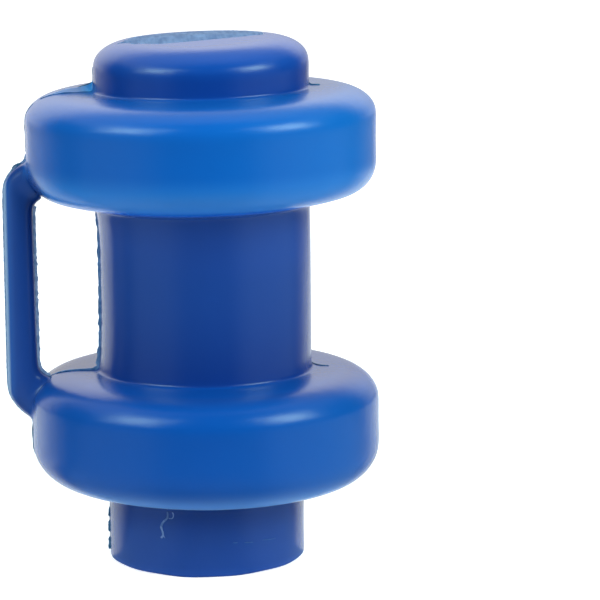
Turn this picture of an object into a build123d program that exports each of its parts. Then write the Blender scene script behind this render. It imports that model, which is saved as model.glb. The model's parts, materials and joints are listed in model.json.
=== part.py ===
from build123d import *
from math import radians, tan
import os

# Cap for the top of a tubular pole: one hollow blow moulding, closed at the top and open at the neck,
# with two flanges that keep a rope on the waist between them and a loop that joins the flanges at one
# side. It is written zone by zone, and every zone meets the next one face to face.
# Millimetres. +Z runs up the axis, the origin is the centre of the neck's mouth, the loop lies at -X,
# and the two halves of the mould part on the XZ plane.

# Pole and sleeve
pole_diameter = 38.0
pole_clearance = 0.3
sleeve_wall = 1.6
neck_height = 15.2

# Flanges: the wall is thinner there, because the material stretches further into the mould
flange_radius = 36.4
flange_wall = 1.2
lower_flange_height = 25.0
lower_underside_rise = 0.6
lower_under_round = 8.4
lower_top_round = 7.0
upper_flange_height = 23.9
upper_underside_rise = 1.8
upper_under_round = 6.5
upper_top_round = 6.4
root_round = 0.9

# Waist and knob
waist_radius = 22.3
waist_height = 35.0
knob_radius = 22.4
knob_height = 9.9
knob_round = 6.4

# Loop beside the waist, solid all through. Its arms leave the flanges at an angle to the level.
loop_overhang = 4.9
loop_depth = 6.1
loop_width = 5.8
loop_edge_round = 1.9
loop_outer_round = 7.5
loop_hole_round = 2.2
loop_top_rise = 6.1
loop_top_angle = 33.0
loop_foot_drop = 4.7
loop_foot_angle = 48.2
hole_rise_at_top = 2.1
hole_fall_at_foot = 1.1

# Flash: thin fins that the mould squeezes out on its parting plane
fin_thickness = 0.5
hole_fin_height = 0.6
outer_fin_height = 0.35
neck_fin_margin = 1.0
flange_fin_gap = 1.0
web_thickness = 0.8
tall_web_height = 2.0
tall_web_edge_margin = 4.5
short_web_height = 1.1
short_web_reach = 3.4
ridge_end_margin = 2.5
ridge_height = 1.1
ridge_thickness = 1.3
ridge_end_slant = 2.5

# Levels and radii worked out from the sizes above
neck_radius = pole_diameter / 2 + pole_clearance + sleeve_wall
lower_bottom = neck_height
lower_rim_low = lower_bottom + lower_underside_rise + lower_under_round
lower_top = lower_bottom + lower_flange_height
upper_bottom = lower_top + waist_height
upper_top = upper_bottom + upper_flange_height
knob_top = upper_top + knob_height
knob_flat_radius = knob_radius - knob_round
loop_reach = flange_radius + loop_overhang
loop_inner = loop_reach - loop_depth
loop_root = flange_radius - max(lower_top_round, upper_under_round)
loop_top_slope = tan(radians(loop_top_angle))
loop_foot_slope = tan(radians(loop_foot_angle))
loop_foot = lower_top - loop_foot_drop - loop_foot_slope * loop_overhang
hole_low = lower_top - hole_fall_at_foot
hole_high = upper_bottom + hole_rise_at_top
overlap = sleeve_wall / 2


def rounded_face(corners):
    """Face on the XZ plane from pairs of a corner point and its round."""
    points = [point for point, _ in corners]
    rounds = [size for _, size in corners]
    return Plane.XZ * make_face(FilletPolyline(*points, radius=rounds, close=True))


def flat_face(points):
    """Face on the XZ plane with sharp corners."""
    return Plane.XZ * make_face(Polyline(*points, close=True))


def half_profile(sleeve=0.0, cover=0.0, mouth=0.0):
    """Half profile of the cap, with its sleeve and flange walls moved in by sleeve and cover."""
    flange = flange_radius - cover
    root = root_round + cover
    return rounded_face([
        ((0, mouth), 0),
        ((neck_radius - sleeve, mouth), 0),
        ((neck_radius - sleeve, lower_bottom + cover), root),
        ((flange, lower_bottom + lower_underside_rise + cover), lower_under_round - cover),
        ((flange, lower_top - cover), lower_top_round - cover),
        ((waist_radius - sleeve, lower_top - cover), root),
        ((waist_radius - sleeve, upper_bottom + cover), root),
        ((flange, upper_bottom + upper_underside_rise + cover), upper_under_round - cover),
        ((flange, upper_top - cover), upper_top_round - cover),
        ((knob_radius - sleeve, upper_top - cover), root),
        ((knob_radius - sleeve, knob_top - sleeve), knob_round - sleeve),
        ((0, knob_top - sleeve), 0),
    ])


def loop_face():
    """Side view of the loop, from root to root, with its roots inside the flanges."""
    run = loop_reach - loop_root
    top_corner = upper_bottom + loop_top_rise
    foot_corner = lower_top - loop_foot_drop
    return rounded_face([
        ((-loop_root, top_corner + loop_top_slope * run), 0),
        ((-loop_reach, top_corner), loop_outer_round),
        ((-loop_reach, foot_corner), loop_outer_round),
        ((-loop_root, foot_corner - loop_foot_slope * run), 0),
        ((-loop_root, hole_low), 0),
        ((-loop_inner, hole_low), loop_hole_round),
        ((-loop_inner, hole_high), loop_hole_round),
        ((-loop_root, hole_high), 0),
    ])


def loop_solid(body):
    """Loop with rounded edges, trimmed to the flanges' skin."""
    strap = extrude(loop_face(), loop_width / 2, both=True)
    sides = strap.faces().filter_by(Axis.Y)
    return fillet(sides.edges(), loop_edge_round) - body


def zone(solid, low, high):
    """Part of a solid between two levels."""
    width = 4 * loop_reach
    return solid & Pos(0, 0, (low + high) / 2) * Box(width, width, high - low)


def fin(face, thickness, *neighbours):
    """Plate on the parting plane, trimmed to the skins that it grows from."""
    plate = extrude(face, thickness / 2, both=True)
    for neighbour in neighbours:
        plate -= neighbour
    return plate


def hole_flash(body, loop):
    """Fin all round the hole between the loop and the waist, left where the hole was punched out."""
    low, high = hole_low - overlap, hole_high + overlap
    inner, outer = waist_radius - overlap, loop_inner + overlap
    frame = flat_face([(-inner, low), (-outer, low), (-outer, high), (-inner, high)])
    hole = frame - mirror(half_profile(), Plane.YZ) - loop_face()
    opening = offset(hole, -hole_fin_height)
    return fin(frame - opening, fin_thickness, body, loop)


def loop_rib(body, loop):
    """Low rib along the loop's outer edge."""
    grown = offset(loop_face(), outer_fin_height)
    inner_side = flat_face([
        (0, hole_low - overlap),
        (-loop_inner - overlap, hole_low - overlap),
        (-loop_inner - overlap, hole_high + overlap),
        (0, hole_high + overlap),
    ])
    return fin(grown - inner_side, fin_thickness, body, loop)


def edge_fin(radius, low, high, body):
    """Low fin up the -X side of a straight wall."""
    outside, inside = -radius - outer_fin_height, -radius + overlap
    points = [(inside, low), (outside, low), (outside, high), (inside, high)]
    return fin(flat_face(points), fin_thickness, body)


def corner_web(side, height, tip_radius, body):
    """Triangular web in the corner between the knob and the upper flange, at the +X or -X side."""
    base = upper_top - overlap
    points = [
        (side * (knob_radius - overlap), base),
        (side * (knob_radius - overlap), upper_top + height),
        (side * knob_radius, upper_top + height),
        (side * tip_radius, upper_top),
        (side * tip_radius, base),
    ]
    return fin(flat_face(points), web_thickness, body)


def pinch_ridge():
    """Ridge across the closed end, where the mould pinches the tube of soft plastic shut."""
    foot = knob_flat_radius - ridge_end_margin
    crest = foot - ridge_end_slant
    top = knob_top + ridge_height
    points = [(-foot, knob_top), (-crest, top), (crest, top), (foot, knob_top)]
    return fin(flat_face(points), ridge_thickness)


def shell_zones(shell):
    """The shell from the mouth to the closed end, cut at the levels where its profile changes."""
    levels = {
        "pole_neck": lower_bottom - root_round,
        "lower_flange_underside": lower_rim_low,
        "lower_flange_rim": lower_top - lower_top_round,
        "lower_flange_top": lower_top + root_round,
        "waist": upper_bottom - root_round,
        "upper_flange_underside": upper_bottom + upper_underside_rise + upper_under_round,
        "upper_flange_rim": upper_top - upper_top_round,
        "upper_flange_top": upper_top + root_round,
    }
    zones, low = {}, 0
    for name, high in levels.items():
        zones[name] = zone(shell, low, high)
        low = high
    knob = zone(shell, low, knob_top)
    core = Pos(0, 0, knob_top) * Cylinder(knob_flat_radius, 2 * knob_height)
    zones["knob_shoulder"] = knob - core
    zones["knob_crown"] = knob & core
    return zones


def cap_parts():
    """All zones and fins, by node name."""
    body = revolve(half_profile(), Axis.Z, 360)
    cavity = revolve(half_profile(sleeve_wall, flange_wall, mouth=-overlap), Axis.Z, 360)
    loop = loop_solid(body)
    parts = shell_zones(body - cavity)
    bar_low, bar_high = hole_low + loop_hole_round, hole_high - loop_hole_round
    parts["loop_lower_arm"] = zone(loop, 0, bar_low)
    parts["loop_bar"] = zone(loop, bar_low, bar_high)
    parts["loop_upper_arm"] = zone(loop, bar_high, knob_top)
    parts["hole_flash"] = hole_flash(body, loop)
    parts["loop_rib"] = loop_rib(body, loop)
    neck_fin_top = lower_bottom - root_round - neck_fin_margin
    parts["neck_flash"] = edge_fin(neck_radius, neck_fin_margin, neck_fin_top, body)
    parts["flange_flash"] = edge_fin(flange_radius, lower_rim_low, loop_foot - flange_fin_gap, body)
    tall_tip, short_tip = flange_radius - tall_web_edge_margin, knob_radius + short_web_reach
    parts["knob_web_left"] = corner_web(-1, tall_web_height, tall_tip, body)
    parts["knob_web_right"] = corner_web(1, short_web_height, short_tip, body)
    parts["pinch_ridge"] = pinch_ridge()
    return parts


os.makedirs("parts", exist_ok=True)
for name, part in cap_parts().items():
    export_step(part, f"parts/{name}.step")
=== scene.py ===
import json
import math

import bmesh
import bpy
from mathutils import Euler, Matrix, Vector, noise


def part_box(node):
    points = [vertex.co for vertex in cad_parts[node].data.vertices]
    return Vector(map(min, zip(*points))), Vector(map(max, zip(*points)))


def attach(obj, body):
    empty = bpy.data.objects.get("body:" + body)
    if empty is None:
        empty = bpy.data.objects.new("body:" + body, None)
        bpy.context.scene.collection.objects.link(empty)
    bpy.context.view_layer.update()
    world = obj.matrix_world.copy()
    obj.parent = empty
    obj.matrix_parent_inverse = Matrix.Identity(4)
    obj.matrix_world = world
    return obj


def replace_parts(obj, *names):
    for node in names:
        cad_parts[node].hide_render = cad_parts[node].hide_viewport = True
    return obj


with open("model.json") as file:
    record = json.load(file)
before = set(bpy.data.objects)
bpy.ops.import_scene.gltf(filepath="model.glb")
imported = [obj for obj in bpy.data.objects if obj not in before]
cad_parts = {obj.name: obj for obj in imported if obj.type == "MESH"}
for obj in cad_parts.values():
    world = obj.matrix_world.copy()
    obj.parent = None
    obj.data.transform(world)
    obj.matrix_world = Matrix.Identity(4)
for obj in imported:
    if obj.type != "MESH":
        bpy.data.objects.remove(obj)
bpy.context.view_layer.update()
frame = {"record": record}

# Lengths below are millimetres. Meshes are made in millimetres and scaled once, when they are finished.
MM = 0.001


def high(node):
    """Level of a node's top."""
    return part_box(node)[1].z / MM


# Sizes that the solids already carry
ROOT = 0.9
NECK_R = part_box("pole_neck")[1].x / MM - 0.35
BORE_R = frame["record"]["mounts"][0]["dims"]["r_mm"]
FLANGE_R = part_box("lower_flange_rim")[1].x / MM
WAIST_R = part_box("waist")[1].x / MM
KNOB_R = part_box("knob_shoulder")[1].x / MM
LOWER_BOTTOM = high("pole_neck") + ROOT
LOWER_TOP = high("lower_flange_top") - ROOT
UPPER_BOTTOM = high("waist") + ROOT
UPPER_TOP = high("upper_flange_top") - ROOT
KNOB_TOP = high("knob_crown") + 0.25
KNOB_DOME = 0.5
LOOP_OUTER = -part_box("loop_bar")[0].x / MM
LOOP_INNER = -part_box("loop_bar")[1].x / MM
LOOP_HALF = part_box("loop_bar")[1].y / MM
SLEEVE = NECK_R - BORE_R
COVER = 1.2

# Rounded corners of the skin: how far each one reaches in and how tall it is
KNOB_CORNER = (8.0, 5.2)
UPPER_TOP_CORNER = (8.0, 5.35)
UPPER_UNDER_CORNER = (6.25, 6.55)
LOWER_TOP_CORNER = (8.1, 6.24)
LOWER_UNDER_CORNER = (8.84, 8.04)
UPPER_UNDER_RISE = 1.9
LOWER_UNDER_RISE = 1.1
CREST_DROP = 0.15

# Centres of those corners, as (radius, height)
KNOB_CENTRE = (KNOB_R - KNOB_CORNER[0], KNOB_TOP - KNOB_CORNER[1])
UPPER_CREST = (FLANGE_R - UPPER_TOP_CORNER[0], UPPER_TOP - CREST_DROP - UPPER_TOP_CORNER[1])
UPPER_FOOT = (FLANGE_R - UPPER_UNDER_CORNER[0], UPPER_BOTTOM + UPPER_UNDER_RISE + UPPER_UNDER_CORNER[1])
LOWER_CREST = (FLANGE_R - LOWER_TOP_CORNER[0], LOWER_TOP - CREST_DROP - LOWER_TOP_CORNER[1])
LOWER_FOOT = (FLANGE_R - LOWER_UNDER_CORNER[0], LOWER_BOTTOM + LOWER_UNDER_RISE + LOWER_UNDER_CORNER[1])

# Levels of the flanges' straight rims
UPPER_RIM = (86.2, 90.4)
LOWER_RIM = 29.0

# The loop and the hole beside the waist
LOOP_BEND = 7.5
HOLE_BEND = 2.2
HOLE_TOP = UPPER_BOTTOM + 2.1
HOLE_FOOT = LOWER_TOP - 1.1

# How wide the rows of the loop's section are, from the hole's side outwards
ROW_WIDTHS = (0.62, 1.04, 1.06, 1.0, 0.84, 0.42)

# How far the flanges lean: rise for each step to +X
UPPER_LEAN = 0.0119
LOWER_LEAN = -0.0030

# The cage that is smoothed: how many columns it has round the axis, and how often it is smoothed
COLUMNS = 48
SMOOTHING = 2


# ---------------------------------------------------------------- meshes

def held(turn):
    """How far a smoothed cage has to stand out to bring a round back to its radius, for one step's turn."""
    return 1 / (1 - (1 - math.cos(math.radians(turn))) / 3)


def corner(centre, reach, angles):
    """Points of an oval corner. Angles are in degrees from level, and pairs of them give the step."""
    points = []
    for k, angle in enumerate(angles):
        near = angles[k - 1] if k else angles[1]
        grow = held(abs(angle - near))
        a = math.radians(angle)
        points.append((centre[0] + reach[0] * grow * math.cos(a), centre[1] + reach[1] * grow * math.sin(a)))
    return points


def ease(value, start, stop):
    """0 at start and 1 at stop, with a soft turn at both ends."""
    t = min(1.0, max(0.0, (value - start) / (stop - start)))
    return t * t * (3 - 2 * t)


def warp(bm):
    """The cooled moulding isn't quite true: its flanges lean and sag a little at the front, its waist is slimmer
    beside the loop, and its neck is cut off in a wave."""
    for v in bm.verts:
        x, y, z = v.co
        upper, lower = ease(z, 45, 78), 1 - ease(z, 38, 60)
        lean = UPPER_LEAN * upper + LOWER_LEAN * lower
        round_about = math.atan2(y, x)
        cut = 1 - ease(z, 0, 4)
        crown = ease(z, 101, 107)
        front = max(0.0, -y) / max(1.0, math.hypot(x, y))
        drop = 0.72 * ease(z, 88, 95) * (1 - ease(z, 99.8, 101))
        drop += (0.42 - 0.005 * x) * ease(z, 30, 36) * (1 - ease(z, 41, 43))
        foot = ease(z, 8, 15) * (1 - ease(z, 19, 34))
        v.co.x -= 0.20 * ease(z, 72, 84) * (1 - ease(z, 96, 103)) + 0.15 * (1 - ease(z, 8, 15))
        slim = ease(z, 41, 46) * (1 - ease(z, 70, 74.5)) * (math.hypot(x, y) < 26)
        v.co.x += slim * (0.10 + 0.5 * max(0.0, -x) / WAIST_R)
        rise = lean * x + 0.12 * upper - 0.012 * foot * min(x, 0.0) + 0.05 * lower
        rise += crown * (0.36 + 0.010 * x + 0.05 * min(y, 0.0))
        v.co.z += rise
        v.co.z -= drop * front * ease(math.hypot(x, y), 24, 30.5)
        v.co.z += cut * (0.42 * math.cos(round_about) ** 2 + 0.08 * math.cos(round_about)
                         + 0.05 * math.sin(5 * round_about + 1.0) + 0.07 * math.sin(11 * round_about))


def finish_mesh(bm, name, materials, smooth=True):
    """Makes an object of a finished bmesh, in metres, riding on the body."""
    warp(bm)
    bmesh.ops.scale(bm, vec=(MM, MM, MM), verts=bm.verts)
    mesh = bpy.data.meshes.new(name)
    for face in bm.faces:
        face.smooth = smooth
    bm.to_mesh(mesh)
    bm.free()
    piece = bpy.data.objects.new(name, mesh)
    bpy.context.scene.collection.objects.link(piece)
    for material in materials:
        mesh.materials.append(material)
    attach(piece, "root")
    return piece


def outer_profile():
    """Half outline of the outside, from the closed end down to the mouth, as (radius, height) pairs."""
    points = [(r, KNOB_TOP + KNOB_DOME * (1 - r / 14)) for r in (0, 4.5, 9.0, 12.4)]
    points += corner(KNOB_CENTRE, KNOB_CORNER, (88, 70, 50, 30, 12))
    points += [(KNOB_R, KNOB_TOP - 6.4), (KNOB_R, UPPER_TOP + 1.0), (KNOB_R + 0.04, UPPER_TOP + 0.32)]
    points += [(KNOB_R + 0.32, UPPER_TOP + 0.04), (KNOB_R + 1.0, UPPER_TOP), (KNOB_R + 3.4, UPPER_TOP)]
    points += corner(UPPER_CREST, UPPER_TOP_CORNER, (90, 73, 56, 39, 21, 3))
    points += [(FLANGE_R, UPPER_RIM[1]), (FLANGE_R, UPPER_RIM[0])]
    points += corner(UPPER_FOOT, UPPER_UNDER_CORNER, (0, -16, -32, -48, -66, -84))
    points += [(WAIST_R + 4.0, UPPER_BOTTOM + 0.75), (WAIST_R + 1.0, UPPER_BOTTOM + 0.2)]
    points += [(WAIST_R + 0.25, UPPER_BOTTOM - 0.1), (WAIST_R + 0.03, UPPER_BOTTOM - 0.6)]
    points += [(WAIST_R, z) for z in (73.0, 69.0, 60.0, 50.0, 43.5)]
    points += [(WAIST_R + 0.03, LOWER_TOP + 0.9), (WAIST_R + 0.22, LOWER_TOP + 0.22)]
    points += [(WAIST_R + 0.8, LOWER_TOP + 0.02), (WAIST_R + 2.6, LOWER_TOP)]
    points += corner(LOWER_CREST, LOWER_TOP_CORNER, (90, 68, 50, 32, 14, 0))
    points += [(FLANGE_R, LOWER_RIM)]
    points += corner(LOWER_FOOT, LOWER_UNDER_CORNER, (8, -12, -30, -48, -66, -84))
    points += [(NECK_R + 4.2, LOWER_BOTTOM + 0.75), (NECK_R + 1.2, LOWER_BOTTOM + 0.2)]
    points += [(NECK_R + 0.3, LOWER_BOTTOM - 0.25), (NECK_R, LOWER_BOTTOM - 1.3)]
    points += [(NECK_R, z) for z in (11.0, 7.0, 3.0, 0.7)]
    return points


def inner_profile():
    """Half outline of the cavity, from the mouth up to the closed end."""
    inside = WAIST_R - SLEEVE

    def within(size):
        return size[0] - COVER, size[1] - COVER

    points = [(BORE_R, 0.8), (BORE_R, 5.0), (BORE_R, 13.0), (BORE_R + 0.2, LOWER_BOTTOM + 0.6)]
    points += [(BORE_R + 1.5, LOWER_BOTTOM + COVER + 0.1), (BORE_R + 4.5, LOWER_BOTTOM + COVER + 0.4)]
    points += corner(LOWER_FOOT, within(LOWER_UNDER_CORNER), (-80, -50, -20))
    points += corner(LOWER_CREST, within(LOWER_TOP_CORNER), (5, 35, 65, 90))
    points += [(inside + 2.4, LOWER_TOP - COVER), (inside + 0.5, LOWER_TOP - COVER + 0.6)]
    points += [(inside, LOWER_TOP + 1.5), (inside, 58.0), (inside, UPPER_BOTTOM - 1.0)]
    points += [(inside + 0.6, UPPER_BOTTOM + 0.9), (inside + 3.4, UPPER_BOTTOM + COVER + 0.4)]
    points += corner(UPPER_FOOT, within(UPPER_UNDER_CORNER), (-80, -50, -20))
    points += corner(UPPER_CREST, within(UPPER_TOP_CORNER), (5, 35, 65, 90))
    points += [(inside + 2.4, UPPER_TOP - COVER), (inside + 0.5, UPPER_TOP - COVER + 0.6)]
    points += [(inside, UPPER_TOP + 1.5)]
    points += corner(KNOB_CENTRE, (KNOB_CORNER[0] - SLEEVE, KNOB_CORNER[1] - SLEEVE), (15, 45, 78))
    points += [(7.0, KNOB_TOP - SLEEVE), (0, KNOB_TOP - SLEEVE)]
    return points


def bend(centre, radius, angles):
    """Points of a round bend of the loop, as (reach, height) pairs."""
    return [(centre[0] + radius * math.cos(math.radians(a)), centre[1] + radius * math.sin(math.radians(a)))
            for a in angles]


def loop_stations():
    """Pairs of an inner and an outer point along the loop, from the upper flange to the lower one."""
    outer_x, inner_side = LOOP_OUTER - LOOP_BEND, LOOP_INNER + 0.08
    inner_x = inner_side - HOLE_BEND
    outer_top = bend((outer_x + 0.12, UPPER_BOTTOM + 2.9), LOOP_BEND, (58, 40, 24, 8))
    outer_foot = bend((outer_x + 0.17, LOWER_TOP - 2.1), LOOP_BEND, (-5, -17, -29, -41))
    inner_top = bend((inner_side - 2.68, HOLE_TOP - 2.8), 2.8, (78, 52, 26, 0))
    inner_foot = bend((inner_side - 3.28, HOLE_FOOT + 3.1), 3.2, (0, -26, -52, -78))
    bar = [((inner_side + 0.008 * (z - 57), z), (LOOP_OUTER + 0.13, z)) for z in (71.0, 65.0, 57.0, 49.0, 44.5)]
    last = ((inner_x - 0.5, HOLE_FOOT + 0.1), (LOOP_OUTER - 3.0, LOWER_TOP - 8.5))
    return list(zip(inner_top, outer_top)) + bar + list(zip(inner_foot, outer_foot)) + [last]


def patch_faces(bm, levels, band):
    """The outer skin's faces in the two columns at -X, between two rows of the profile."""
    found = []
    for face in bm.faces:
        rows = [v[levels] for v in face.verts]
        middle = face.calc_center_median()
        turn = abs(math.degrees(math.atan2(middle.y, -middle.x)))
        if min(rows) >= band[0] and max(rows) <= band[1] and turn < 360 / COLUMNS:
            found.append(face)
    return found


def number_patch(faces, mark, downwards):
    """Marks a patch's vertices by row, counted from the side of the hole, and by side."""
    verts = sorted({v for f in faces for v in f.verts}, key=lambda v: v.co.z, reverse=not downwards)
    sides = {-1: [], 0: [], 1: []}
    for v in verts:
        sides[0 if abs(v.co.y) < 0.4 else (1 if v.co.y > 0 else -1)].append(v)
    for side, column in sides.items():
        for row, v in enumerate(column):
            v[mark] = 10 * row + side + 2
    return len(sides[0]) - 1


def place_station(verts, mark, rows, inner, outer, flare):
    """Moves a ring of the loop to its place between an inner and an outer point. It flares at the roots."""
    for v in verts:
        row, side = divmod(v[mark], 10)
        side -= 2
        share = row / rows
        half = LOOP_HALF * flare * ROW_WIDTHS[row]
        reach = inner[0] + (outer[0] - inner[0]) * share
        v.co = Vector((-reach, side * half, inner[1] + (outer[1] - inner[1]) * share))


def moulding():
    """The whole cap as one closed skin: outside, rim, cavity and loop."""
    bm = bmesh.new()
    level = bm.verts.layers.int.new("level")
    mark = bm.verts.layers.int.new("mark")
    outside, inside = outer_profile(), inner_profile()
    rim = [(NECK_R - 0.05, 0.12), (NECK_R - 0.35, 0.0), (BORE_R + 0.3, 0.0), (BORE_R + 0.04, 0.15)]
    grow = held(360 / COLUMNS)
    profile = outside + rim + inside
    verts = []
    for k, (r, z) in enumerate(profile):
        v = bm.verts.new((r * grow, 0, z))
        v[level] = k
        verts.append(v)
    edges = [bm.edges.new(pair) for pair in zip(verts, verts[1:])]
    bmesh.ops.spin(bm, geom=verts + edges, cent=(0, 0, 0), axis=(0, 0, 1), dvec=(0, 0, 0),
                   angle=2 * math.pi, steps=COLUMNS, use_merge=True)
    bmesh.ops.remove_doubles(bm, verts=bm.verts, dist=0.001)
    bmesh.ops.recalc_face_normals(bm, faces=bm.faces)
    cavity_from = len(outside) + 2
    for face in bm.faces:
        face.material_index = 1 if min(v[level] for v in face.verts) >= cavity_from else 0

    def row_near(r, z):
        return min(range(len(outside)), key=lambda k: math.dist(outside[k], (r, z)))

    top_band = (row_near(FLANGE_R, UPPER_RIM[0]), row_near(32.7, 77.6))
    foot_band = (row_near(31.3, 39.8), row_near(FLANGE_R, LOWER_RIM))
    upper = patch_faces(bm, level, top_band)
    lower = patch_faces(bm, level, foot_band)
    for faces in (upper, lower):
        bmesh.ops.inset_region(bm, faces=faces, thickness=1.25, use_even_offset=True, use_boundary=True)
    rows = number_patch(upper, mark, True)
    number_patch(lower, mark, False)

    tip = upper
    flares = [1.35, 1.1] + 10 * [1.0] + [1.12, 1.4]
    for (inner, outer), flare in zip(loop_stations(), flares):
        grown = bmesh.ops.extrude_face_region(bm, geom=tip)["geom"]
        bmesh.ops.delete(bm, geom=tip, context="FACES_ONLY")
        tip = [g for g in grown if isinstance(g, bmesh.types.BMFace)]
        place_station({v for f in tip for v in f.verts}, mark, rows, inner, outer, flare)
    landing = {v[mark]: v.co.copy() for f in lower for v in f.verts}
    grown = bmesh.ops.extrude_face_region(bm, geom=tip)["geom"]
    bmesh.ops.delete(bm, geom=tip, context="FACES_ONLY")
    tip = [g for g in grown if isinstance(g, bmesh.types.BMFace)]
    for v in {v for f in tip for v in f.verts}:
        v.co = landing[v[mark]]
    bmesh.ops.delete(bm, geom=tip + lower, context="FACES")
    bmesh.ops.remove_doubles(bm, verts=bm.verts, dist=0.001)
    loose = [v for v in bm.verts if not v.link_faces]
    bmesh.ops.delete(bm, geom=loose, context="VERTS")
    bmesh.ops.recalc_face_normals(bm, faces=bm.faces)
    return bm


# ---------------------------------------------------------------- finishes

class Wire:
    """A node's output that Python's arithmetic works on, so that shader maths reads as maths."""

    def __init__(self, sheet, socket):
        self.sheet, self.socket = sheet, socket

    def maths(self, operation, *values):
        return self.sheet.node("ShaderNodeMath", {"operation": operation}, dict(enumerate((self,) + values)))

    def __add__(self, other):
        return self.maths("ADD", other)

    def __mul__(self, other):
        return self.maths("MULTIPLY", other)

    def __sub__(self, other):
        return self.maths("SUBTRACT", other)

    def __rsub__(self, other):
        return self.maths("MULTIPLY", -1) + other

    def __truediv__(self, other):
        return self.maths("DIVIDE", other)

    def __pow__(self, other):
        return self.maths("POWER", other)

    __radd__ = __add__
    __rmul__ = __mul__

    def size(self):
        return self.maths("ABSOLUTE")

    def at_least(self, other):
        return self.maths("MAXIMUM", other)

    def rise(self, start, stop):
        """0 below start and 1 above stop, with a soft turn at both ends."""
        return self.sheet.node("ShaderNodeMapRange", {"interpolation_type": "SMOOTHSTEP"},
                               {"Value": self, "From Min": start, "From Max": stop})


class Sheet:
    """A node tree to write a finish or a light on."""

    def __init__(self, tree):
        self.tree = tree

    def node(self, kind, settings=None, inputs=None, out=0):
        """Adds a node: its settings first, then the values or links of its sockets. Gives one output."""
        made = self.tree.nodes.new(kind)
        for name, value in (settings or {}).items():
            setattr(made, name, value)
        for name, value in (inputs or {}).items():
            if isinstance(value, Wire):
                self.tree.links.new(value.socket, made.inputs[name])
            else:
                made.inputs[name].default_value = value
        return Wire(self, made.outputs[out])

    def blend(self, factor, first, second):
        """Colour between two colours."""
        return self.node("ShaderNodeMix", {"data_type": "RGBA", "clamp_factor": True},
                         {0: factor, 6: first, 7: second}, 2)

    def noise(self, place, scale, detail=2.0, stretch=(1, 1, 1)):
        at = self.node("ShaderNodeVectorMath", {"operation": "MULTIPLY"}, {0: place, 1: stretch})
        return self.node("ShaderNodeTexNoise", {}, {"Vector": at, "Scale": scale, "Detail": detail, "Roughness": 0.5})

    def split(self, vector, *axes):
        """The chosen axes of a vector, by number."""
        made = self.node("ShaderNodeSeparateXYZ", {}, {0: vector}).socket.node
        return [Wire(self, made.outputs[axis]) for axis in axes]

    def rays(self, *kinds):
        """1 for each of these kinds of ray, and 0 for the others."""
        made = self.node("ShaderNodeLightPath").socket.node
        return [Wire(self, made.outputs[kind]) for kind in kinds]

    def end(self, kind, socket, shader):
        self.tree.links.new(shader.socket, self.tree.nodes.new(kind).inputs[socket])


def new_sheet(material):
    material.use_nodes = True
    material.node_tree.nodes.clear()
    return Sheet(material.node_tree)


AZURE = (0.003, 0.106, 0.46, 1)
# Painted light: flange colour for the +X side, where more light falls
RIGHT_LIT_CYAN = (0.004, 0.144, 0.51, 1)
# Painted bounce light colour for the flanges' undersides
UNDERSIDE_BOUNCE_PALE = (0.030, 0.240, 0.70, 1)
NAVY = (0.010, 0.050, 0.250, 1)
# Painted shade colour for the waist's foot and the neck's head
FOOT_SHADE = (0.003, 0.030, 0.200, 1)
KNOB_LOW = (0.003, 0.040, 0.250, 1)
KNOB_HIGH = (0.006, 0.082, 0.41, 1)
# Painted shade colour for the lower flange
LOWER_FLANGE_SHADE = (0.001, 0.036, 0.24, 1)
HOLLOW = (0.01, 0.26, 0.78, 1)
# Painted reflection and painted highlight colours for the loop's outer side and outermost edge
BAR_SIDE_SHEEN = (0.022, 0.095, 0.36, 1)
BAR_EDGE_HIGHLIGHT = (0.20, 0.31, 0.53, 1)
BLACK = (0, 0, 0, 1)


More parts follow.
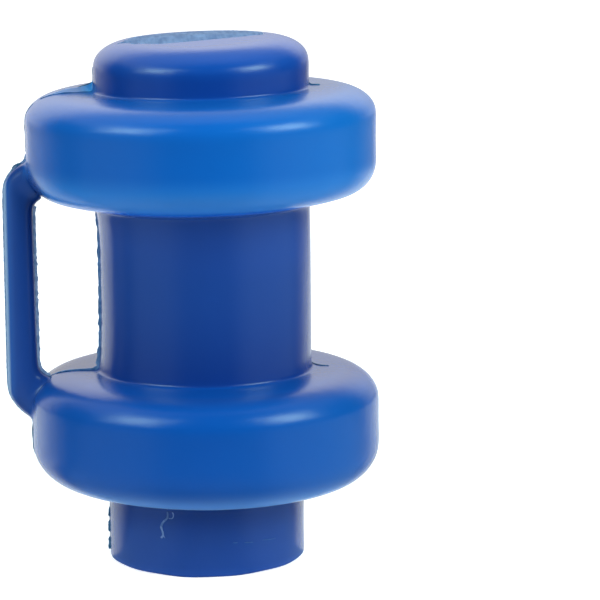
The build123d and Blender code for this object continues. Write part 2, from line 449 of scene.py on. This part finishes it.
def shell_finish(name, inside=False):
    """Semi-gloss polyethylene. It is brighter where the wall was stretched thin, in the flanges. Its colour also holds
    painted light: painted shade, painted bounce light, painted reflections and a painted glow, each marked below.
    Places on it are in metres from the origin."""
    material = bpy.data.materials.new(name)
    sheet = new_sheet(material)
    place = sheet.node("ShaderNodeTexCoord", out=3)
    x, y, z = sheet.split(place, 0, 1, 2)
    radius = (x * x + y * y) ** 0.5
    level = z - UPPER_LEAN * x
    upper_side = level.rise(0.0970, 0.0980) * (1 - level.rise(0.0994, 0.0999))
    lower_side = z.rise(0.0380, 0.0390) * (1 - z.rise(0.0404, 0.0409))
    ledge = 0.75 * upper_side.at_least(lower_side) * radius.rise(0.0222, 0.0232)
    stretched = radius.rise(0.0228, 0.031).at_least(ledge)
    cloud = sheet.noise(place, 70, 3.0)
    streak = sheet.noise(place, 260, 2.0, stretch=(1, 1, 0.08))
    grain = sheet.noise(place, 2600, 2.0)
    dimple = sheet.noise(place, 420, 2.0)
    if inside:
        colour = sheet.blend(radius.rise(0.0205, 0.026), NAVY, HOLLOW)
    else:
        mottle = 0.16 * (cloud - 0.5) + 0.10 * (streak - 0.5)
        in_gap = 1 - (z - 0.0577).size().rise(0.0165, 0.0205)
        loop = radius.rise(0.0362, 0.0378).at_least(in_gap * radius.rise(0.028, 0.031))
        wide = 0.0065 * (1 - (z - 0.0800).size().rise(0.0010, 0.0060))
        root = (x * -1).rise(0.0270, 0.0350) * (1 - (y.size() - wide).rise(0.0030, 0.0100))
        root = root * (1 - (z - 0.0580).size().rise(0.0225, 0.0295))
        # Painted bounce light: the undersides of both flanges paler, as if lit from the white table below.
        under_upper_bounce = 1 - (z - 0.0783).size().rise(0.0025, 0.0075)
        under_lower_bounce = 1 - (z - 0.0160).size().rise(0.0010, 0.0045)
        # Painted light: the flanges paler and more cyan towards +X, the side where more light falls; the mottle is
        # random tone.
        flange = sheet.blend(x.rise(-0.006, 0.034) * 0.8 + mottle, AZURE, RIGHT_LIT_CYAN)
        # Painted shade: the lower flange darker than the upper one.
        flange = sheet.blend(0.52 * (1 - z.rise(0.040, 0.060)), flange, LOWER_FLANGE_SHADE)
        flange = sheet.blend(0.5 * under_upper_bounce + 0.4 * under_lower_bounce, flange, UNDERSIDE_BOUNCE_PALE)
        knob = sheet.blend(z.rise(0.1020, 0.1095) + mottle, KNOB_LOW, KNOB_HIGH)
        # Painted shade: the waist darker towards its foot above the lower flange, and the neck darker at its head under
        # the lower flange.
        waist_foot_shade = 0.9 * (1 - z.rise(0.038, 0.064)) * z.rise(0.016, 0.030)
        neck_head_shade = 0.4 * (z.rise(0.008, 0.013) - z.rise(0.016, 0.030))
        shaded_shaft = sheet.blend(waist_foot_shade.at_least(neck_head_shade), NAVY, FOOT_SHADE)
        core = sheet.blend(level.rise(0.0978, 0.0992), shaded_shaft, knob)
        colour = sheet.blend(stretched, core, flange)
        # Painted reflection: the loop's outer side paler, with a painted highlight along its outermost edge.
        bar = sheet.blend((x * -1).rise(0.0392, 0.0412), NAVY, BAR_SIDE_SHEEN)
        bar = sheet.blend((x * -1).rise(0.0406, 0.0411), bar, BAR_EDGE_HIGHLIGHT)
        colour = sheet.blend(loop.at_least(root), colour, bar)
    part_line = 1 - y.size().rise(0.00006, 0.0002)
    relief = 0.5 * dimple + 0.12 * grain + 0.25 * part_line
    bump = sheet.node("ShaderNodeBump", {}, {"Strength": 0.35, "Distance": 0.0002, "Height": relief})
    rough = 0.25 + 0.05 * (cloud - 0.5) + 0.02 * (grain - 0.5)
    if inside:
        rough = rough + 0.12
    inputs = {"Base Color": colour, "Roughness": rough, "Normal": bump, "IOR": 1.5}
    # Painted glow: the cavity's wall glows blue where it is thin, for light coming through it.
    if inside:
        inputs["Emission Color"] = sheet.blend(radius.rise(0.0205, 0.026), BLACK, (0.0, 0.16, 0.60, 1))
        inputs["Emission Strength"] = 0.6
    else:
        # Painted glow: the underside of the upper flange glows at its edge and foot, as light through the thin wall;
        # painted bounce light from the table along the lower flange's bottom edge; and painted light on the waist's
        # head and the neck's bottom edge.
        plain = stretched * (1 - loop.at_least(root))
        upper_edge_glow = (1 - z.rise(0.0776, 0.0826)) * z.rise(0.0768, 0.0782)
        upper_foot_glow = (1 - z.rise(0.0770, 0.0786)) * z.rise(0.0735, 0.0740)
        lower_edge_bounce = 1 - z.rise(0.0165, 0.0220)
        glow = sheet.blend(plain * upper_edge_glow, BLACK, (0.020, 0.065, 0.160, 1))
        glow = sheet.blend(plain * upper_foot_glow, glow, (0.000, 0.030, 0.220, 1))
        glow = sheet.blend(plain * lower_edge_bounce, glow, (0.058, 0.105, 0.160, 1))
        waist_head_glow = z.rise(0.060, 0.075) * (1 - z.rise(0.0765, 0.0770))
        bright = (1 - stretched) * waist_head_glow.at_least(0.5 - 0.5 * z.rise(0.0008, 0.0022))
        inputs["Emission Color"] = sheet.blend(bright, glow, (0.006, 0.017, 0.070, 1))
        inputs["Emission Strength"] = 1.0
    sheet.end("ShaderNodeOutputMaterial", "Surface", sheet.node("ShaderNodeBsdfPrincipled", {}, inputs))
    return material


skin = shell_finish("moulded_polyethylene")
cavity = shell_finish("moulded_polyethylene_inside", inside=True)


# ---------------------------------------------------------------- the cap

cap = finish_mesh(moulding(), "cap_moulding", [skin, cavity])
smooth = cap.modifiers.new("smooth", "SUBSURF")
smooth.levels = smooth.render_levels = SMOOTHING
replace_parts(cap, "pole_neck", "lower_flange_underside", "lower_flange_rim", "lower_flange_top", "waist",
            "upper_flange_underside", "upper_flange_rim", "upper_flange_top", "knob_shoulder", "knob_crown",
            "loop_lower_arm", "loop_bar", "loop_upper_arm")


# ---------------------------------------------------------------- flash on the parting plane

# Distance between a fin's points, and how deep its foot stands in the skin
FIN_STEP = 0.3
FIN_SINK = 0.4


def smooth_line(points, cuts=6):
    """The smooth line that a smoothed cage makes of a row of its points."""
    line = []
    ends = [points[0]] + list(points) + [points[-1]]
    for a, b, c, d in zip(ends, ends[1:], ends[2:], ends[3:]):
        for k in range(cuts):
            t = k / cuts
            weights = ((1 - t) ** 3 / 6, (3 * t ** 3 - 6 * t * t + 4) / 6,
                       (-3 * t ** 3 + 3 * t * t + 3 * t + 1) / 6, t ** 3 / 6)
            line.append(tuple(sum(w * p[axis] for w, p in zip(weights, (a, b, c, d))) for axis in (0, 1)))
    return line


def even_line(points, step):
    """The same line with points at an even step, as (x, z, distance along it)."""
    out, travelled, wanted = [], 0.0, 0.0
    for (ax, az), (bx, bz) in zip(points, points[1:]):
        length = math.hypot(bx - ax, bz - az)
        while length > 0 and wanted <= travelled + length:
            t = (wanted - travelled) / length
            out.append((ax + (bx - ax) * t, az + (bz - az) * t, wanted))
            wanted += step
        travelled += length
    return out


def ribbon(name, pairs, thickness, material):
    """Thin solid strip through pairs of a lower and an upper point."""
    bm = bmesh.new()
    order = bm.verts.layers.int.new("order")
    verts = []
    for k, (foot, _) in enumerate(pairs):
        v = bm.verts.new(foot)
        v[order] = k
        verts.append(v)
    edges = [bm.edges.new(pair) for pair in zip(verts, verts[1:])]
    grown = bmesh.ops.extrude_edge_only(bm, edges=edges)["geom"]
    for v in (g for g in grown if isinstance(g, bmesh.types.BMVert)):
        v.co = pairs[v[order]][1]
    bmesh.ops.recalc_face_normals(bm, faces=bm.faces)
    before = {v: v.co.copy() for v in bm.verts}
    bmesh.ops.solidify(bm, geom=bm.faces[:], thickness=thickness)
    moved = sum((v.co - before[v] for v in before), Vector()) / len(before)
    drift = sum((v.co for v in bm.verts), Vector()) / len(bm.verts) - sum(before.values(), Vector()) / len(before)
    bmesh.ops.translate(bm, vec=-drift if moved.length < 1e-6 else -moved / 2, verts=bm.verts)
    bmesh.ops.recalc_face_normals(bm, faces=bm.faces)
    return finish_mesh(bm, name, [material], smooth=False)


def flash(name, line, height, material, thickness=0.42, ragged=0.35, seed=0.0, upright=False):
    """Thin fin on the parting plane that stands off a line of the skin, on the left of its direction.
    height gives its height at a point (x, z) of the line."""
    points, pairs = even_line(line, FIN_STEP), []
    for k, (x, z, along) in enumerate(points):
        before, after = points[max(0, k - 1)], points[min(len(points) - 1, k + 1)]
        way = Vector((before[1] - after[1], 0, after[0] - before[0])).normalized()
        if upright:
            way = Vector((0, 0, 1))
        tear = noise.noise(Vector((along * 0.9, seed, 0))) + 0.6 * noise.noise(Vector((along * 2.7, seed, 5)))
        foot = Vector((x, 0, z))
        top = foot + way * height(x, z) * (1 + ragged * tear)
        top.y = 0.12 * noise.noise(Vector((along * 0.5, seed, 9)))
        pairs.append((foot - way * FIN_SINK, top))
    return ribbon(name, pairs, thickness, material)


def along_table(table):
    """Height from a table of (position, height) pairs, with straight runs between them."""
    def find(value):
        for (a, ha), (b, hb) in zip(table, table[1:]):
            if a <= value <= b:
                return ha + (hb - ha) * (value - a) / (b - a)
        return table[0][1] if value < table[0][0] else table[-1][1]
    return find


def flash_finish(name, dark, light, glow, tip=None):
    """The same plastic in fins so thin that light comes through them. That light is painted: the fin glows with its own
    colour. A web can have a paler tip.
    """
    material = bpy.data.materials.new(name)
    sheet = new_sheet(material)
    place = sheet.node("ShaderNodeTexCoord", out=3)
    cloud = sheet.noise(place, 900, 3.0)
    colour = sheet.blend(cloud.rise(0.35, 0.65), dark, light)
    if tip:
        x, = sheet.split(place, 0)
        colour = sheet.blend(x.size().rise(0.0228, 0.0262), colour, tip)
    inputs = {"Base Color": colour, "Roughness": 0.35 + 0.2 * cloud, "IOR": 1.5,
              "Emission Color": colour, "Emission Strength": glow}
    sheet.end("ShaderNodeOutputMaterial", "Surface", sheet.node("ShaderNodeBsdfPrincipled", {}, inputs))
    return material


# Every fin finish has a painted glow of its own colour; the hole's fin glows most.
thin = flash_finish("thin_flash", (0.02, 0.09, 0.19, 1), (0.05, 0.17, 0.29, 1), 0.12)
pale = flash_finish("pale_flash", (0.06, 0.15, 0.32, 1), (0.14, 0.26, 0.46, 1), 0.15)
lit = flash_finish("lit_flash", (0.10, 0.18, 0.32, 1), (0.18, 0.27, 0.42, 1), 0.5)
edge = flash_finish("edge_flash", (0.17, 0.28, 0.46, 1), (0.28, 0.39, 0.56, 1), 0.15)
web = flash_finish("web_flash", (0.03, 0.22, 0.55, 1), (0.08, 0.34, 0.68, 1), 0.3, tip=(0.22, 0.32, 0.54, 1))
# Dark finish: painted shadow lines at the feet of the webs, and also the neck's real scuffs.
foot_shadow_and_scuff = flash_finish("web_foot_flash", (0.01, 0.08, 0.22, 1), (0.02, 0.12, 0.30, 1), 0.0)
scuff = flash_finish("scuffed_polyethylene", (0.05, 0.12, 0.32, 1), (0.15, 0.25, 0.48, 1), 0.0)

# Lines of the skin on the parting plane: up the -X side, down the +X side, and along the loop's two edges
right_down = smooth_line(outer_profile())
left_up = [(-r, z) for r, z in reversed(right_down)]
stations = loop_stations()
flange_join = [(FLANGE_R, 87.0), (FLANGE_R, 85.2)]
foot_join = [(FLANGE_R, 30.2), (FLANGE_R, 28.6)]
loop_back = smooth_line(flange_join + [outer for _, outer in stations] + foot_join)
loop_back = [(-x, z) for x, z in reversed(loop_back)]
loop_face = [(-x, z) for x, z in smooth_line([inner for inner, _ in stations])]


def between(line, start, stop):
    """Part of a line whose points have a height between two levels."""
    return [p for p in line if start <= p[1] <= stop]


neck_height_of = along_table([(0, 0.35), (0.7, 0.6), (1.2, 0.42), (3.9, 0.4), (4.1, 0.06), (5.2, 0.06), (5.4, 0.45),
                              (7.5, 0.4), (7.7, 0.05), (8.6, 0.05), (8.8, 0.35), (10.2, 0.3), (10.6, 0.08)])
neck_strip = flash("neck_parting_flash", between(left_up, 0.1, 14.5), lambda x, z: neck_height_of(z), thin, seed=1.0)
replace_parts(neck_strip, "neck_flash")

side_height_of = along_table([(15, 0.05), (22, 0.08), (23.5, 0.2), (25.5, 0.12), (26.2, 0.25), (28.6, 0.2),
                              (29.2, 0.1)])
side_strip = flash("lower_flange_parting_flash", [p for p in between(left_up, 15.5, 29.6) if p[0] < -NECK_R - 1],
                   lambda x, z: side_height_of(z), thin, seed=2.0)
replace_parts(side_strip, "flange_flash")

rib_height_of = along_table([(29, 0.1), (32, 0.28), (60, 0.28), (79, 0.3), (86, 0.22), (87.5, 0.05)])
rib_strip = flash("loop_parting_flash", loop_back, lambda x, z: rib_height_of(z), edge, seed=3.0, ragged=0.25)
shard_height_of = along_table([(83.0, 0.0), (83.5, 0.5), (84.3, 0.5), (84.8, 0.0)])
flash("loop_shard", [p for p in loop_back if 83.0 < p[1] < 84.8], lambda x, z: shard_height_of(z), thin, seed=3.5,
      ragged=0.2, thickness=0.5)
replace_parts(rib_strip, "loop_rib")

left_hole_side = [p for p in between(left_up, LOWER_TOP - 2.0, UPPER_BOTTOM + 4.0) if p[0] > -33.2]
lower_top_left = [p for p in left_up if LOWER_TOP - 0.6 < p[1] < LOWER_TOP + 0.4 and p[0] > -32.8]
low_web_of = along_table([(-32.5, 0.1), (-30.0, 0.25), (-26.0, 0.3), (-23.8, 0.4), (-22.9, 0.8), (-22.2, 1.3)])


def loop_side_height(x, z):
    """Low ragged fin with small teeth on its lower half."""
    return 0.55 + 0.14 * (z < 66 and math.sin(z * 4.1) + math.sin(z * 1.7) > 0.9)


hole_strip = flash("hole_parting_flash", [p for p in loop_face if p[1] < 75.8], loop_side_height, lit, seed=4.0,
                   ragged=0.25, thickness=0.35)
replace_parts(hole_strip, "hole_flash")
waist_fin_of = along_table([(LOWER_TOP + 0.3, 0.1), (LOWER_TOP + 1.5, 0.8), (LOWER_TOP + 6, 0.72),
                            (LOWER_TOP + 8, 0.58), (UPPER_BOTTOM - 3, 0.5), (UPPER_BOTTOM - 1, 0.1)])
flash("waist_parting_flash", left_hole_side, lambda x, z: waist_fin_of(z), pale, seed=4.5, ragged=0.35, thickness=0.35)
flash("lower_flange_web", lower_top_left, lambda x, z: low_web_of(x), pale, seed=5.0, ragged=0.1, thickness=0.25,
      upright=True)
# Dark strip at the web's foot: a painted shadow line.
flash("lower_flange_web_foot", lower_top_left, lambda x, z: 0.1, foot_shadow_and_scuff, seed=5.5, ragged=0.2, thickness=0.4,
      upright=True)

knob_web_of = along_table([(-33.0, 0.05), (-30.8, 0.25), (-29.6, 0.45), (-28.0, 0.80), (-26.4, 0.95), (-24.7, 1.13),
                           (-23.3, 1.45), (-22.7, 1.75), (-22.2, 2.05)])
upper_top_left = [p for p in left_up if UPPER_TOP - 3.0 < p[1] < UPPER_TOP + 0.6 and -33.2 < p[0] < -22.2]
web_strip = flash("knob_web", upper_top_left, lambda x, z: knob_web_of(x), web, seed=6.0, ragged=0.06,
                  thickness=0.6, upright=True)
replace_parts(web_strip, "knob_web_left")
# Dark strip at the web's foot: a painted shadow line.
flash("knob_web_foot", upper_top_left, lambda x, z: 0.12, foot_shadow_and_scuff, seed=6.5, ragged=0.2, thickness=0.66, upright=True)
upper_side = [p for p in left_up if 87 < p[1] < UPPER_TOP - 2.0 or UPPER_TOP + 2.0 < p[1] < 104.5]
flash("upper_flange_parting_flash", upper_side, lambda x, z: 0.08, thin, seed=6.8)

right_web_of = along_table([(22.3, 0.5), (22.9, 0.25), (23.6, 0.2), (24.5, 0.2), (25.0, 0.02)])
right_strip = flash("short_knob_web", [p for p in right_down if UPPER_TOP - 1 < p[1] < UPPER_TOP + 0.6 and p[0] < 25.1],
                    lambda x, z: right_web_of(x), thin, seed=8.0, ragged=0.1, upright=True)
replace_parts(right_strip, "knob_web_right")


# ---------------------------------------------------------------- small marks

def wall_mark(name, points, width, material, radius):
    """Thin raised mark on a round wall, along points of (degrees from the front, height)."""
    arc = math.radians(1) * radius
    line, pairs = smooth_line([(turn * arc, z) for turn, z in points], cuts=5), []
    for k, (s, z) in enumerate(line):
        before, after = line[max(0, k - 1)], line[min(len(line) - 1, k + 1)]
        way = Vector((before[1] - after[1], after[0] - before[0])).normalized()
        uneven = 1 + 0.5 * noise.noise(Vector((s * 1.5, z * 1.5, 2)))
        taper = min(1.0, 0.25 + k / 4, 0.25 + (len(line) - 1 - k) / 4)
        half = 0.5 * width * uneven * taper
        pair = []
        for sign in (-1, 1):
            a = (s + sign * half * way.x) / radius
            pair.append(Vector((radius * math.sin(a), -radius * math.cos(a), z + sign * half * way.y)))
        pairs.append(tuple(pair))
    return ribbon(name, pairs, 0.10, material)


scratch = [(-26.9, 14.2), (-26.6, 13.5), (-26.3, 12.4), (-28.0, 11.8), (-29.5, 11.4), (-30.8, 10.4), (-30.2, 9.9),
           (-29.6, 9.4), (-29.2, 8.6), (-30.0, 8.2), (-31.2, 8.0)]
wall_mark("neck_scratch", scratch, 0.38, scuff, NECK_R)
wall_mark("neck_scratch_fork", [(-29.2, 8.7), (-28.5, 8.2), (-27.8, 8.0)], 0.2, scuff, NECK_R)
wall_mark("neck_scratch_branch", [(-26.3, 12.3), (-24.7, 12.2), (-23.2, 12.3), (-22.8, 13.1), (-23.4, 13.5),
                                  (-24.1, 13.9)], 0.25, scuff, NECK_R)
wall_mark("neck_scuff_left", [(11.4, 7.2), (13.5, 7.1), (15.5, 7.1)], 0.1, foot_shadow_and_scuff, NECK_R)
wall_mark("neck_scuff_middle", [(18.0, 7.0), (22.0, 6.9), (25.6, 6.8)], 0.1, foot_shadow_and_scuff, NECK_R)
wall_mark("neck_scuff_right", [(29.6, 7.0), (36.0, 6.8), (42.5, 6.8)], 0.1, foot_shadow_and_scuff, NECK_R)
ridge_line = smooth_line([(22.6, 2.6), (22.9, 1.0), (23.8, -0.6), (25.2, -1.2), (26.2, -1.3)], cuts=5)
ridge_pairs = [(Vector((x, y, LOWER_TOP - 0.4)), Vector((x, y, LOWER_TOP + 0.26 - 0.05 * max(0.0, x - 22.6))))
               for x, y in ridge_line]
ribbon("lower_flange_ridge", ridge_pairs, 0.22, thin)


def pinch_finish():
    """Where the soft tube was pinched shut the plastic is rough, with lines across the seam."""
    material = bpy.data.materials.new("pinched_polyethylene")
    sheet = new_sheet(material)
    place = sheet.node("ShaderNodeTexCoord", out=3)
    lines = sheet.noise(place, 1100, 3.0, stretch=(1, 0.12, 0.3))
    cloud = sheet.noise(place, 240, 3.0)
    colour = sheet.blend((0.6 * lines + 0.4 * cloud).rise(0.3, 0.7), (0.045, 0.130, 0.34, 1), (0.19, 0.31, 0.58, 1))
    bump = sheet.node("ShaderNodeBump", {}, {"Strength": 0.5, "Distance": 0.0003, "Height": lines})
    inputs = {"Base Color": colour, "Roughness": 0.55 + 0.15 * cloud, "Normal": bump, "IOR": 1.5}
    sheet.end("ShaderNodeOutputMaterial", "Surface", sheet.node("ShaderNodeBsdfPrincipled", {}, inputs))
    return material


def pinch_scar():
    """Low rough plate behind the seam across the closed end, where the mould pinched the soft tube shut."""
    half_length, shift, slant, front, back = 18.8, 1.3, 0.25, 7.0, 16.0
    bm = bmesh.new()
    bmesh.ops.create_grid(bm, x_segments=160, y_segments=20, size=1.0)
    for v in bm.verts:
        u, w = v.co.x, (v.co.y + 1) / 2
        x = u * half_length - shift
        near, far = slant * x - front * (1 - u * u), slant * x + back * math.sqrt(max(0.0, 1 - u * u))
        y = near + w * (far - near)
        reach = math.hypot(x, y)
        round_off = min(1.0, max(0.0, reach - KNOB_R + KNOB_CORNER[0]) / KNOB_CORNER[0])
        dome = KNOB_TOP + KNOB_DOME * (1 - reach / 14) - KNOB_CORNER[1] * (1 - math.sqrt(1 - round_off ** 2))
        plate = (1 - (2 * w - 1) ** 8) * (1 - u ** 6)
        seam = 0.14 * math.exp(-((y - 0.1 * x) / 0.7) ** 2)
        rough = 0.05 * noise.noise(Vector((x * 2.2, y * 0.3, 3))) + 0.03 * noise.noise(Vector((x * 6.0, y * 0.8, 8)))
        v.co = Vector((x, y, dome - 0.1 + plate * (0.2 + rough + seam)))
    rim = [e for e in bm.edges if e.is_boundary]
    bmesh.ops.extrude_edge_only(bm, edges=rim)
    low_rim = {v for e in bm.edges if e.is_boundary for v in e.verts}
    bmesh.ops.translate(bm, vec=(0, 0, -0.6), verts=list(low_rim))
    bmesh.ops.holes_fill(bm, edges=[e for e in bm.edges if e.is_boundary], sides=0)
    bmesh.ops.remove_doubles(bm, verts=bm.verts, dist=0.002)
    bmesh.ops.recalc_face_normals(bm, faces=bm.faces)
    return finish_mesh(bm, "pinch_scar", [pinch_finish()])


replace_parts(pinch_scar(), "pinch_ridge")


# ---------------------------------------------------------------- stage, light and camera

MIDDLE = Vector((0, 0, 0.055))
LAMP_TINT = (0.68, 1.0, 0.90)
BOUNCE_TINT = (0.9, 0.97, 1.0)


def softbox(name, turn, rise, distance, size, power, mirrored=True):
    """Square area light at an azimuth from the front, turned to the cap. A bounced one has no mirror image."""
    lamp = bpy.data.lights.new(name, "AREA")
    lamp.shape, lamp.size, lamp.energy = "SQUARE", size, power
    lamp.color = LAMP_TINT if mirrored else BOUNCE_TINT
    holder = bpy.data.objects.new(name, lamp)
    bpy.context.scene.collection.objects.link(holder)
    a, e = math.radians(turn), math.radians(rise)
    way = Vector((math.sin(a) * math.cos(e), -math.cos(a) * math.cos(e), math.sin(e)))
    holder.location = MIDDLE + way * distance
    holder.rotation_euler = way.to_track_quat("Z", "Y").to_euler()
    holder.visible_glossy = lamp.cycles.use_multiple_importance_sampling = mirrored


softbox("left_softbox", -58, 41, 0.75, 0.26, 0.86)
softbox("left_softbox_rim", -58, 41, 0.78, 0.56, 1.6)
softbox("right_softbox", 60, 35, 0.75, 0.26, 1.10)
softbox("right_softbox_rim", 59, 35, 0.78, 0.50, 1.5)
softbox("left_bounce", -56, 17, 1.2, 1.0, 8.2, mirrored=False)
softbox("right_bounce", 46, 24, 1.2, 1.0, 12.2, mirrored=False)


def studio_world():
    """White all round for the eye. In reflections it is white behind and under the cap, and dim in front."""
    world = bpy.data.worlds.new("studio")
    bpy.context.scene.world = world
    world.use_nodes = True
    world.node_tree.nodes.clear()
    sheet = Sheet(world.node_tree)
    x, y, z = sheet.split(sheet.node("ShaderNodeTexCoord"), 0, 1, 2)
    aside = 0.35 * (1 - z.rise(0.35, 0.6)) * x.size().rise(0.45, 0.85) * (1 - y.rise(-0.25, 0.1))
    beside = sheet.blend(aside, (0.010, 0.012, 0.015, 1), (0.45, 0.7, 1, 1))
    left = 1 - x.rise(-0.25, 0.05)
    gain = 0.80 + 0.35 * left + (0.70 - 0.35 * left) * z.rise(0.08, 0.45)
    rear_low = (y - 0.06 * (1 - left)).rise(0.45, 0.78) * gain * (1 - (z + 0.1 * x).rise(0.52, 0.76))
    overhead = 0.6 * y.rise(-0.35, 0.20) * z.rise(0.5, 0.75) * (1 - 0.5 * x.rise(0.2, 0.6))
    brightest = 2.5
    behind = sheet.blend((rear_low + overhead) / brightest, BLACK, (brightest, brightest, brightest, 1))
    dim = sheet.node("ShaderNodeMix", {"data_type": "RGBA", "blend_type": "ADD", "clamp_factor": True},
                     {0: 1.0, 6: beside, 7: behind}, 2)
    seen, gloss, through = sheet.rays("Is Camera Ray", "Is Glossy Ray", "Is Transmission Ray")
    room = sheet.blend(y.rise(0.0, 0.6), (0.03, 0.03, 0.035, 1), (0.42, 0.42, 0.43, 1))
    plain = sheet.blend(gloss, room, dim)
    colour = sheet.blend(seen.at_least(through), plain, (1, 1, 1, 1))
    light = sheet.node("ShaderNodeBackground", {}, {"Color": colour, "Strength": 1.0})
    sheet.end("ShaderNodeOutputWorld", "Surface", light)


studio_world()


def floor():
    """White table under the cap. It keeps the cap's shadow, and isn't seen from below."""
    bm = bmesh.new()
    bmesh.ops.create_circle(bm, cap_ends=True, segments=64, radius=3000)
    bmesh.ops.translate(bm, vec=(0, 0, -0.05), verts=bm.verts)
    material = bpy.data.materials.new("white_table")
    sheet = new_sheet(material)
    x, y = sheet.split(sheet.node("ShaderNodeTexCoord", out=3), 0, 1)
    seen, gloss = sheet.rays("Is Camera Ray", "Is Glossy Ray")
    reach = (x * x + y * y) ** 0.5
    near = 1 - reach.rise(0.06, 0.20)
    beyond = (x.size() - 0.032).at_least(0)
    back, side = y / (beyond * beyond + y * y) ** 0.5, (x.size() / reach).rise(0.45, 0.85)
    right, far = x.rise(-0.01, 0.01), reach.rise(0.25, 0.60)
    spread = (back - 0.10 * right).rise(0.16, 0.86) * (1 - (0.5 + 0.2 * right) * far) * (0.88 - 0.06 * right)
    rear = (back.rise(0.82, 0.97) * 0.92).at_least(near * y.rise(0.010, 0.036) * (0.90 - 0.42 * x.rise(-0.02, 0.03)))
    rear = rear.at_least(spread)
    aside = (x.size() / reach).rise(0.35, 0.75) * (1 - (back - 0.35 * right).rise(-0.25, 0.1)) * (0.42 + 0.18 * right)
    bright = near.at_least(back.rise(-0.2, 0.5)).at_least(0.4 * side)
    white = sheet.node("ShaderNodeBsdfDiffuse", {}, {"Color": (0.86, 0.86, 0.86, 1)})
    black = sheet.node("ShaderNodeBsdfDiffuse", {}, {"Color": (0.03, 0.03, 0.035, 1)})
    far_glow = sheet.blend(reach.rise(0.15, 0.4), (0.72, 0.72, 0.72, 1), (1.02, 1.02, 1.02, 1))
    glow = sheet.node("ShaderNodeEmission", {}, {"Color": far_glow, "Strength": 1.0})
    eye = sheet.node("ShaderNodeAddShader", {}, {0: white, 1: glow})
    tint = sheet.blend(aside + 0.06 * near, BLACK, (0.5, 0.75, 1, 1))
    tint = sheet.node("ShaderNodeEmission", {}, {"Color": tint, "Strength": 1.0})
    dark = sheet.node("ShaderNodeAddShader", {}, {0: black, 1: tint})
    mirror_view = sheet.node("ShaderNodeMixShader", {}, {0: rear, 1: dark, 2: eye})
    bounce = sheet.node("ShaderNodeMixShader", {}, {0: bright, 1: black, 2: white})
    lit = sheet.node("ShaderNodeMixShader", {}, {0: seen, 1: bounce, 2: eye})
    lit = sheet.node("ShaderNodeMixShader", {}, {0: gloss, 1: lit, 2: mirror_view})
    clear = sheet.node("ShaderNodeBsdfTransparent")
    under = sheet.node("ShaderNodeNewGeometry").socket.node.outputs["Backfacing"]
    shown = sheet.node("ShaderNodeMixShader", {}, {0: Wire(sheet, under), 1: lit, 2: clear})
    sheet.end("ShaderNodeOutputMaterial", "Surface", shown)
    bmesh.ops.scale(bm, vec=(MM, MM, MM), verts=bm.verts)
    mesh = bpy.data.meshes.new("table")
    bm.to_mesh(mesh)
    bm.free()
    mesh.materials.append(material)
    table = bpy.data.objects.new("table", mesh)
    bpy.context.scene.collection.objects.link(table)


floor()


def camera():
    """Long lens a little above the cap, which stands at the left of the frame and leans slightly."""
    reach, height, turn = 0.6646, 0.17294, math.radians(267)
    aim = Vector((0, 0, 0.05438))
    swing, roll = math.radians(-1.728), math.radians(-0.56)
    lens = bpy.data.cameras.new("camera")
    lens.lens, lens.sensor_width = 193.06, 36
    lens.clip_start, lens.clip_end = 0.05, 20
    view = bpy.data.objects.new("camera", lens)
    bpy.context.scene.collection.objects.link(view)
    view.location = (reach * math.cos(turn), reach * math.sin(turn), height)
    forward = Matrix.Rotation(swing, 3, "Z") @ (aim - view.location).normalized()
    look = forward.to_track_quat("-Z", "Y")
    view.rotation_mode = "QUATERNION"
    view.rotation_quaternion = look @ Euler((0, 0, roll)).to_quaternion()
    bpy.context.scene.camera = view


camera()
bpy.context.scene.view_settings.view_transform = "Standard"
